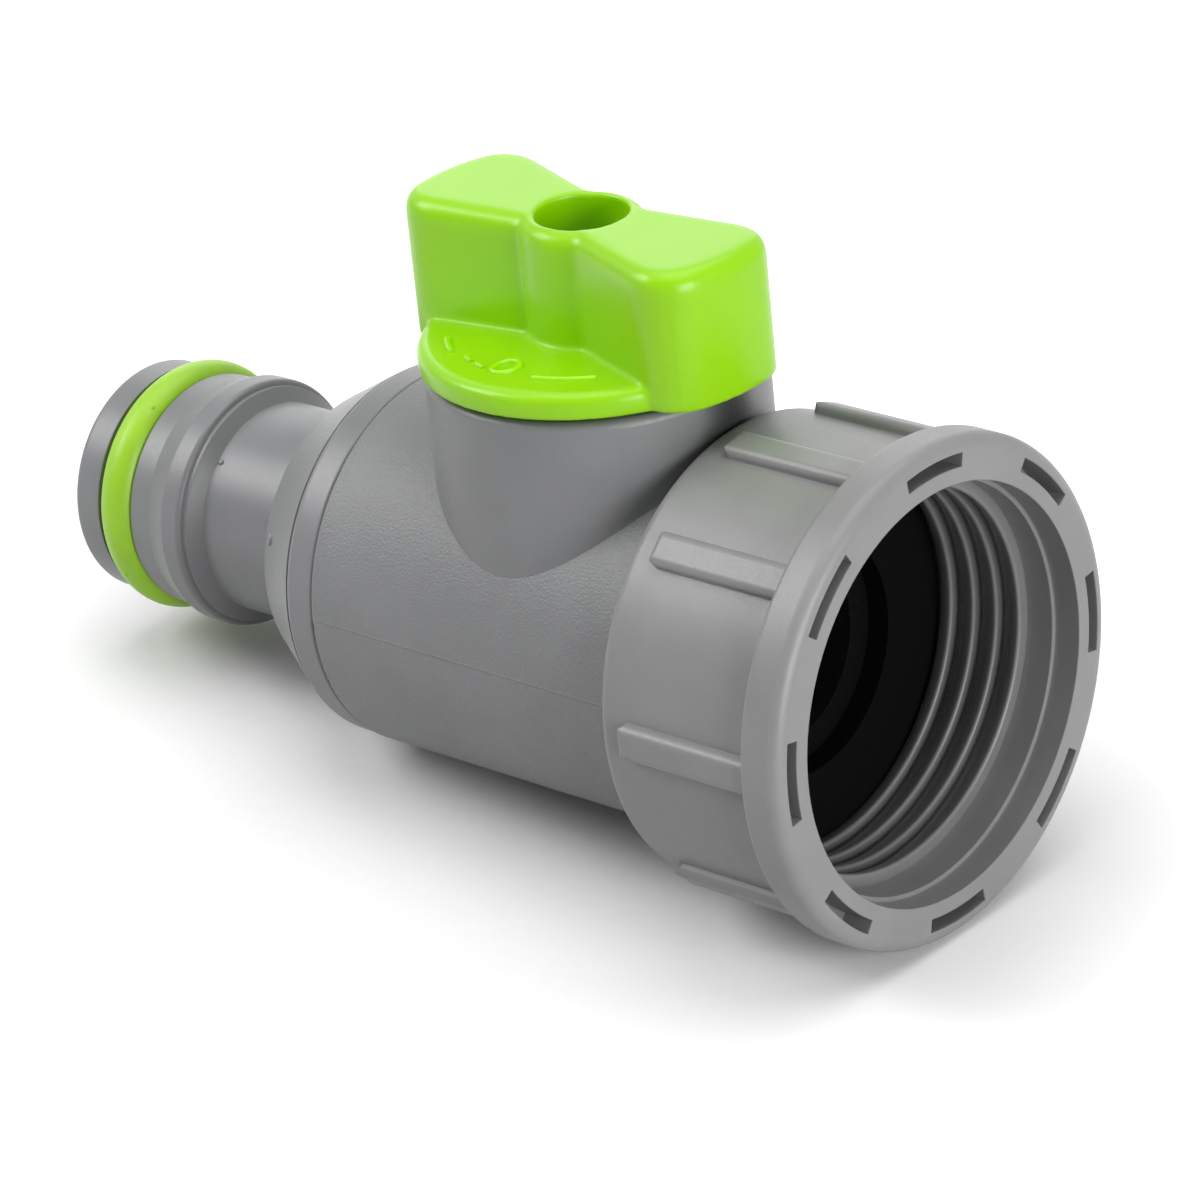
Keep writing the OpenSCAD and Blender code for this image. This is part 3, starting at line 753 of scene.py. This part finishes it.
class CONNECTOR_OT_set_stage(bpy.types.Operator):
    """Sets the pale floor, the soft lights and the camera"""

    bl_idname = "connector.set_stage"
    bl_label = "Set the stage"

    LIGHT_DISTANCE = 0.7
    FLOOR_RADIUS = 3.0
    # The paper's darker flecks, and the grey that lights the connector from below
    PAPER_GREY = (0.96, 0.96, 0.96)
    BOUNCE_GREY = (0.5, 0.5, 0.5)
    # The paper is plain near the connector, and glows to white from further out
    SHADE_REACH = 34 * MM
    WHITE_FROM = 62 * MM
    WHITE_GLOW = 0.4
    # Where the camera of the photograph stood, and which ways its picture ran
    CAMERA_PLACE = Vector((218.867, -249.956, 159.792)) * MM
    PICTURE_RIGHT = Vector((0.75196108, 0.65251371, -0.09370369))
    PICTURE_DOWN = Vector((0.21280185, -0.37481496, -0.90234645))

    def execute(self, context):
        scene = context.scene
        studio = scene.connector_studio
        # The connector rests on the nut's band and on the lock ring
        band = Vector((7.8, 0, -16.42)) * MM
        ring = Vector((-33.5, 0, -12.55)) * MM
        run = (band - ring).normalized()
        up = Vector((-run.z, 0, run.x))
        lean = Matrix.Rotation(math.atan2(up.x, up.z), 4, "Y")
        self.lay_floor(scene, Matrix.Translation(band) @ lean)
        # Each softbox has a direction from the connector, a width in metres and a power
        softboxes = (
            ("top_softbox", (0.1, 0.1, 1), 0.7, studio.top_power),
            ("key_softbox", (1, -0.2, 0.1), 0.45, studio.key_power),
            ("fill_softbox", (-0.6, -0.44, 0.67), 0.36, studio.fill_power),
            ("back_softbox", (-0.6, 0.75, 0.5), 0.5, studio.back_power),
        )
        for name, direction, width, power in softboxes:
            self.hang_light(scene, name, Vector(direction), width, power)
        self.light_surroundings(scene, studio.sky)
        self.place_camera(scene, studio.view_angle)
        scene.view_settings.view_transform = "Standard"
        return {"FINISHED"}

    def lay_floor(self, scene, place):
        """A wide round floor in the plane that the connector rests on."""
        shape = bmesh.new()
        bmesh.ops.create_circle(shape, cap_ends=True, cap_tris=False, segments=96, radius=self.FLOOR_RADIUS)
        mesh = bpy.data.meshes.new("studio_floor")
        shape.to_mesh(mesh)
        shape.free()
        mesh.transform(place)
        floor = bpy.data.objects.new("studio_floor", mesh)
        scene.collection.objects.link(floor)
        material, tree, shader = new_material("floor_paper")
        spot = own_place(tree)
        paper = noise(tree, spot, scale=900, detail=3)
        glow = self.seen_directly(tree)
        paper_colour = tint(tree, paper, self.PAPER_GREY, (1, 1, 1))
        tree.links.new(tint(tree, glow, self.BOUNCE_GREY, paper_colour), shader.inputs["Base Color"])
        shader.inputs["Roughness"].default_value = 0.9
        shader.inputs["Specular IOR Level"].default_value = 0.1
        shader.inputs["Emission Color"].default_value = (1, 1, 1, 1)
        away = tree.nodes.new("ShaderNodeVectorMath")
        away.operation = "DISTANCE"
        away.inputs[1].default_value = MIDDLE
        tree.links.new(spot, away.inputs[0])
        bright = remap(tree, away.outputs["Value"], self.SHADE_REACH, self.WHITE_FROM, 0.0, self.WHITE_GLOW)
        tree.links.new(math_node(tree, "MULTIPLY", glow, bright), shader.inputs["Emission Strength"])
        mesh.materials.append(material)

    def seen_directly(self, tree):
        """1 for camera, glossy and transmission rays and 0 for the others."""
        path = tree.nodes.new("ShaderNodeLightPath")
        either = math_node(tree, "MAXIMUM", path.outputs["Is Camera Ray"], path.outputs["Is Glossy Ray"])
        return math_node(tree, "MAXIMUM", either, path.outputs["Is Transmission Ray"])

    def hang_light(self, scene, name, direction, width, power):
        """A square softbox that faces the connector from the given direction."""
        lamp = bpy.data.lights.new(name, "AREA")
        lamp.shape = "SQUARE"
        lamp.size = width
        lamp.energy = power
        hanger = bpy.data.objects.new(name, lamp)
        hanger.location = MIDDLE + direction.normalized() * self.LIGHT_DISTANCE
        hanger.rotation_mode = "QUATERNION"
        hanger.rotation_quaternion = direction.normalized().to_track_quat("Z", "Y")
        scene.collection.objects.link(hanger)

    def light_surroundings(self, scene, strength):
        """Even light from all round; the background itself is white."""
        world = bpy.data.worlds.new("studio")
        world.use_nodes = True
        tree = world.node_tree
        background = tree.nodes["Background"]
        background.inputs["Color"].default_value = (1, 1, 1, 1)
        seen = self.seen_directly(tree)
        level = math_node(tree, "ADD", math_node(tree, "MULTIPLY", seen, 1 - strength), strength)
        tree.links.new(level, background.inputs["Strength"])
        scene.world = world

    def place_camera(self, scene, view_angle):
        """The camera that was solved from the photograph."""
        camera = bpy.data.cameras.new("photo_camera")
        camera.sensor_width = 36
        camera.lens = camera.sensor_width / 2 / math.tan(view_angle / 2)
        camera.clip_start = 0.01
        camera.clip_end = 20
        forward = self.PICTURE_RIGHT.cross(self.PICTURE_DOWN)
        turn = Matrix((self.PICTURE_RIGHT, -self.PICTURE_DOWN, -forward)).transposed().to_4x4()
        mount = bpy.data.objects.new("photo_camera", camera)
        mount.matrix_world = Matrix.Translation(self.CAMERA_PLACE) @ turn
        scene.collection.objects.link(mount)
        scene.camera = mount


STEPS = (
    CONNECTOR_OT_finish_body,
    CONNECTOR_OT_finish_nut,
    CONNECTOR_OT_cut_thread,
    CONNECTOR_OT_finish_nipple,
    CONNECTOR_OT_finish_knob,
    CONNECTOR_OT_finish_inside,
    CONNECTOR_OT_raise_marks,
    CONNECTOR_OT_add_mould_marks,
    CONNECTOR_OT_set_stage,
)


class CONNECTOR_PT_build(bpy.types.Panel):
    """Sizes, colours and steps of the connector"""

    bl_idname = "CONNECTOR_PT_build"
    bl_label = "Tap connector"
    bl_space_type = "VIEW_3D"
    bl_region_type = "UI"
    bl_category = "Connector"

    def draw(self, context):
        layout = self.layout
        for label, settings in GROUPS.items():
            box = layout.box()
            box.label(text=label)
            group = getattr(context.scene, settings[0])
            for field in group.__annotations__:
                box.prop(group, field)
        for operator in STEPS:
            layout.operator(operator.bl_idname)


GROUPS = {
    "Colours": ("connector_colours", ConnectorColours),
    "Thread": ("connector_thread", ConnectorThread),
    "Marks": ("connector_marks", ConnectorMarks),
    "Studio": ("connector_studio", ConnectorStudio),
}


def register():
    for attribute, group in GROUPS.values():
        bpy.utils.register_class(group)
        setattr(bpy.types.Scene, attribute, bpy.props.PointerProperty(type=group))
    for operator in STEPS:
        bpy.utils.register_class(operator)
    bpy.utils.register_class(CONNECTOR_PT_build)


def unregister():
    bpy.utils.unregister_class(CONNECTOR_PT_build)
    for operator in reversed(STEPS):
        bpy.utils.unregister_class(operator)
    for attribute, group in GROUPS.values():
        delattr(bpy.types.Scene, attribute)
        bpy.utils.unregister_class(group)


def main():
    register()
    bpy.ops.connector.finish_body()
    bpy.ops.connector.finish_nut()
    bpy.ops.connector.cut_thread()
    bpy.ops.connector.finish_nipple()
    bpy.ops.connector.finish_knob()
    bpy.ops.connector.finish_inside()
    bpy.ops.connector.raise_marks()
    bpy.ops.connector.add_mould_marks()
    bpy.ops.connector.set_stage()


if __name__ == "__main__":
    main()
